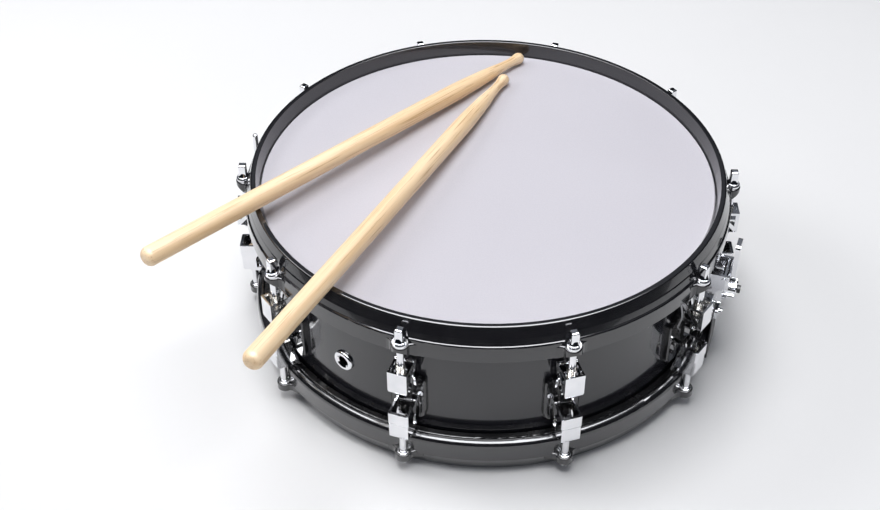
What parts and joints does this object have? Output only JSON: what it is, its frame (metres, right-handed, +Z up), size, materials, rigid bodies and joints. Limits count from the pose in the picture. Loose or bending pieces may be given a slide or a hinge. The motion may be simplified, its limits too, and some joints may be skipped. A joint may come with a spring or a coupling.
{
  "type": "snare drum with sticks",
  "caption": "Snare drum with a black shell, wide hoops, hooked chrome tension lugs, coated head, snare strainer, and a pair of wooden sticks laid over the rim.",
  "frame": {"origin": "centre of the lower rim, on the plane it rests on, on the shell axis", "axes": "+Z up along the shell axis, the picture side is -Y"},
  "size_m": [0.4471, 0.4308, 0.1649],
  "materials": {
    "shell_lacquer": "gloss black lacquer",
    "hoop_lacquer": "gloss black lacquer",
    "lug_black": "gloss black",
    "chrome": "polished",
    "coated_film": "coated, fine grain",
    "clear_film": "hazy thin film",
    "brass": "satin",
    "snare_steel": "bright",
    "black_plastic": "satin",
    "strap_fabric": "woven",
    "stick_wood": "clear satin varnish"
  },
  "bodies": {
    "drum": {"shell": "shell_lacquer", "vent_grommet": "chrome", "batter_head": "coated_film", "snare_side_head": "clear_film", "batter_flesh_hoop": "hoop_lacquer", "snare_side_flesh_hoop": "hoop_lacquer", "batter_hoop": "hoop_lacquer", "snare_side_hoop": "hoop_lacquer", "lug_bases": "lug_black", "lug_screws": "chrome", "upper_hooks": "chrome", "lower_hooks": "chrome", "upper_swivel_nuts": "brass", "lower_swivel_nuts": "brass", "batter_washers": "chrome", "snare_side_washers": "chrome", "strainer_housing": "chrome", "strainer_screws": "chrome", "butt_housing": "chrome", "butt_screws": "chrome", "butt_guard_bar": "chrome"},
    "batter_rod_01": {"batter_rod_01": "chrome"},
    "batter_rod_02": {"batter_rod_02": "chrome"},
    "batter_rod_03": {"batter_rod_03": "chrome"},
    "batter_rod_04": {"batter_rod_04": "chrome"},
    "batter_rod_05": {"batter_rod_05": "chrome"},
    "batter_rod_06": {"batter_rod_06": "chrome"},
    "batter_rod_07": {"batter_rod_07": "chrome"},
    "batter_rod_08": {"batter_rod_08": "chrome"},
    "batter_rod_09": {"batter_rod_09": "chrome"},
    "batter_rod_10": {"batter_rod_10": "chrome"},
    "snare_side_rod_01": {"snare_side_rod_01": "chrome"},
    "snare_side_rod_02": {"snare_side_rod_02": "chrome"},
    "snare_side_rod_03": {"snare_side_rod_03": "chrome"},
    "snare_side_rod_04": {"snare_side_rod_04": "chrome"},
    "snare_side_rod_05": {"snare_side_rod_05": "chrome"},
    "snare_side_rod_06": {"snare_side_rod_06": "chrome"},
    "snare_side_rod_07": {"snare_side_rod_07": "chrome"},
    "snare_side_rod_08": {"snare_side_rod_08": "chrome"},
    "snare_side_rod_09": {"snare_side_rod_09": "chrome"},
    "snare_side_rod_10": {"snare_side_rod_10": "chrome"},
    "throw_off_lever": {"throw_off_lever": "chrome"},
    "snares": {"strainer_carriage": "chrome", "carriage_screws": "chrome", "strainer_strap": "strap_fabric", "butt_strap": "strap_fabric", "snare_end_plates": "brass", "snare_wires": "snare_steel"},
    "tension_knob": {"tension_knob": "chrome", "tension_knob_cap": "black_plastic"},
    "stick_left": {"stick_left": "stick_wood"},
    "stick_right": {"stick_right": "stick_wood"}
  },
  "joints": [
    {"name": "batter_rod_01_turn", "type": "hinge", "parent": "drum", "child": "batter_rod_01", "pos_m": [0.193, 0, 0.11], "axis": [0, 0, 1], "continuous": true},
    {"name": "snare_side_rod_01_turn", "type": "hinge", "parent": "drum", "child": "snare_side_rod_01", "pos_m": [0.193, 0, 0.03], "axis": [0, 0, 1], "continuous": true},
    {"name": "batter_rod_02_turn", "type": "hinge", "parent": "drum", "child": "batter_rod_02", "pos_m": [0.15614, 0.11344, 0.11], "axis": [0, 0, 1], "continuous": true},
    {"name": "snare_side_rod_02_turn", "type": "hinge", "parent": "drum", "child": "snare_side_rod_02", "pos_m": [0.15614, 0.11344, 0.03], "axis": [0, 0, 1], "continuous": true},
    {"name": "batter_rod_03_turn", "type": "hinge", "parent": "drum", "child": "batter_rod_03", "pos_m": [0.05964, 0.18355, 0.11], "axis": [0, 0, 1], "continuous": true},
    {"name": "snare_side_rod_03_turn", "type": "hinge", "parent": "drum", "child": "snare_side_rod_03", "pos_m": [0.05964, 0.18355, 0.03], "axis": [0, 0, 1], "continuous": true},
    {"name": "batter_rod_04_turn", "type": "hinge", "parent": "drum", "child": "batter_rod_04", "pos_m": [-0.05964, 0.18355, 0.11], "axis": [0, 0, 1], "continuous": true},
    {"name": "snare_side_rod_04_turn", "type": "hinge", "parent": "drum", "child": "snare_side_rod_04", "pos_m": [-0.05964, 0.18355, 0.03], "axis": [0, 0, 1], "continuous": true},
    {"name": "batter_rod_05_turn", "type": "hinge", "parent": "drum", "child": "batter_rod_05", "pos_m": [-0.15614, 0.11344, 0.11], "axis": [0, 0, 1], "continuous": true},
    {"name": "snare_side_rod_05_turn", "type": "hinge", "parent": "drum", "child": "snare_side_rod_05", "pos_m": [-0.15614, 0.11344, 0.03], "axis": [0, 0, 1], "continuous": true},
    {"name": "batter_rod_06_turn", "type": "hinge", "parent": "drum", "child": "batter_rod_06", "pos_m": [-0.193, 0, 0.11], "axis": [0, 0, 1], "continuous": true},
    {"name": "snare_side_rod_06_turn", "type": "hinge", "parent": "drum", "child": "snare_side_rod_06", "pos_m": [-0.193, 0, 0.03], "axis": [0, 0, 1], "continuous": true},
    {"name": "batter_rod_07_turn", "type": "hinge", "parent": "drum", "child": "batter_rod_07", "pos_m": [-0.15614, -0.11344, 0.11], "axis": [0, 0, 1], "continuous": true},
    {"name": "snare_side_rod_07_turn", "type": "hinge", "parent": "drum", "child": "snare_side_rod_07", "pos_m": [-0.15614, -0.11344, 0.03], "axis": [0, 0, 1], "continuous": true},
    {"name": "batter_rod_08_turn", "type": "hinge", "parent": "drum", "child": "batter_rod_08", "pos_m": [-0.05964, -0.18355, 0.11], "axis": [0, 0, 1], "continuous": true},
    {"name": "snare_side_rod_08_turn", "type": "hinge", "parent": "drum", "child": "snare_side_rod_08", "pos_m": [-0.05964, -0.18355, 0.03], "axis": [0, 0, 1], "continuous": true},
    {"name": "batter_rod_09_turn", "type": "hinge", "parent": "drum", "child": "batter_rod_09", "pos_m": [0.05964, -0.18355, 0.11], "axis": [0, 0, 1], "continuous": true},
    {"name": "snare_side_rod_09_turn", "type": "hinge", "parent": "drum", "child": "snare_side_rod_09", "pos_m": [0.05964, -0.18355, 0.03], "axis": [0, 0, 1], "continuous": true},
    {"name": "batter_rod_10_turn", "type": "hinge", "parent": "drum", "child": "batter_rod_10", "pos_m": [0.15614, -0.11344, 0.11], "axis": [0, 0, 1], "continuous": true},
    {"name": "snare_side_rod_10_turn", "type": "hinge", "parent": "drum", "child": "snare_side_rod_10", "pos_m": [0.15614, -0.11344, 0.03], "axis": [0, 0, 1], "continuous": true},
    {"name": "throw_off_turn", "type": "hinge", "parent": "drum", "child": "throw_off_lever", "pos_m": [0.18546, -0.06026, 0.091], "axis": [0.309, 0.9511, 0], "range_deg": [0, 70]},
    {"name": "snare_drop", "type": "slide", "parent": "drum", "child": "snares", "axis": [0, 0, -1], "range_m": [0, 0.003]},
    {"name": "tension_knob_turn", "type": "hinge", "parent": "drum", "child": "tension_knob", "pos_m": [0.18546, -0.06026, 0.075], "axis": [0.9511, -0.309, 0], "continuous": true},
    {"name": "stick_left_lift", "type": "slide", "parent": "drum", "child": "stick_left", "axis": [0, 0, 1], "range_m": [0, 0.15]},
    {"name": "stick_right_lift", "type": "slide", "parent": "drum", "child": "stick_right", "axis": [0, 0, 1], "range_m": [0, 0.15]}
  ],
  "couplings": [
    {"joint": "throw_off_turn", "follows": "snare_drop", "rad_per_m": 407}
  ]
}
